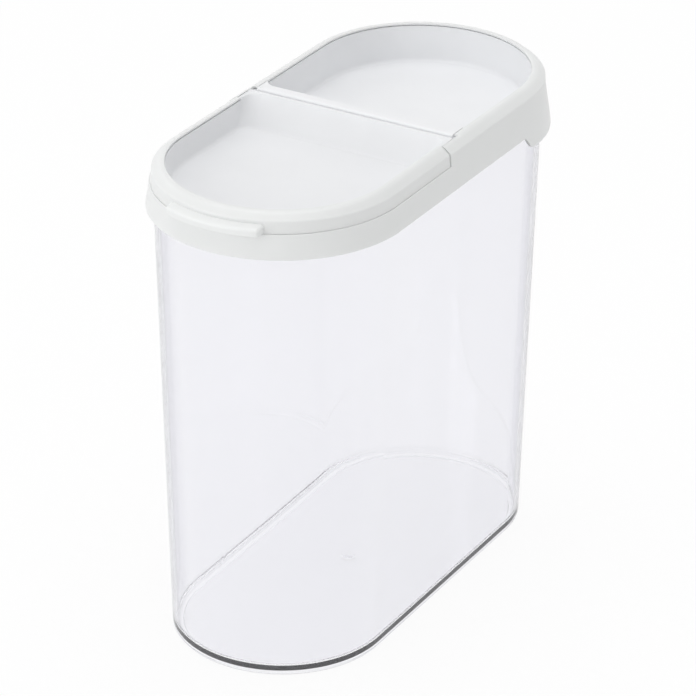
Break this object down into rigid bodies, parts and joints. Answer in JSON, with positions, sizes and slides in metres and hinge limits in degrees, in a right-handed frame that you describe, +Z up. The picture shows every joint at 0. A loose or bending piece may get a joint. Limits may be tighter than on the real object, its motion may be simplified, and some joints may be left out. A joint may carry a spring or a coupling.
{
  "type": "cereal container with flip spout",
  "caption": "Tall clear storage jar on an obround plan, with a lift-off lid whose front half flips up on a cross hinge to pour dry food.",
  "frame": {"origin": "on the surface it stands on, midway between the thumb tab's edge and the rear lip's edge", "axes": "+Z up towards the lid, -Y towards the flap and its thumb tab, +X to the right seen from the tab end"},
  "size_m": [0.094, 0.1904, 0.1806],
  "materials": {
    "clear_jar": "clear styrenic plastic, polished mould",
    "white_moulding": "white polypropylene, satin",
    "milky_moulding": "natural polypropylene, milky and half see-through",
    "soft_seal": "soft thermoplastic elastomer, matt"
  },
  "bodies": {
    "jar": {"jar": "clear_jar"},
    "lid": {"lid_ring": "white_moulding", "inner_lid": "milky_moulding", "lid_seal": "soft_seal", "spout_seal": "soft_seal"},
    "flap": {"flap_rim": "white_moulding", "flap_window": "milky_moulding"}
  },
  "joints": [
    {"name": "lid_lift", "type": "slide", "parent": "jar", "child": "lid", "axis": [0, 0, 1], "range_m": [0, 0.04]},
    {"name": "flap_hinge", "type": "hinge", "parent": "lid", "child": "flap", "pos_m": [0, -0.0021, 0.1784], "axis": [-1, 0, 0], "range_deg": [0, 105]}
  ]
}
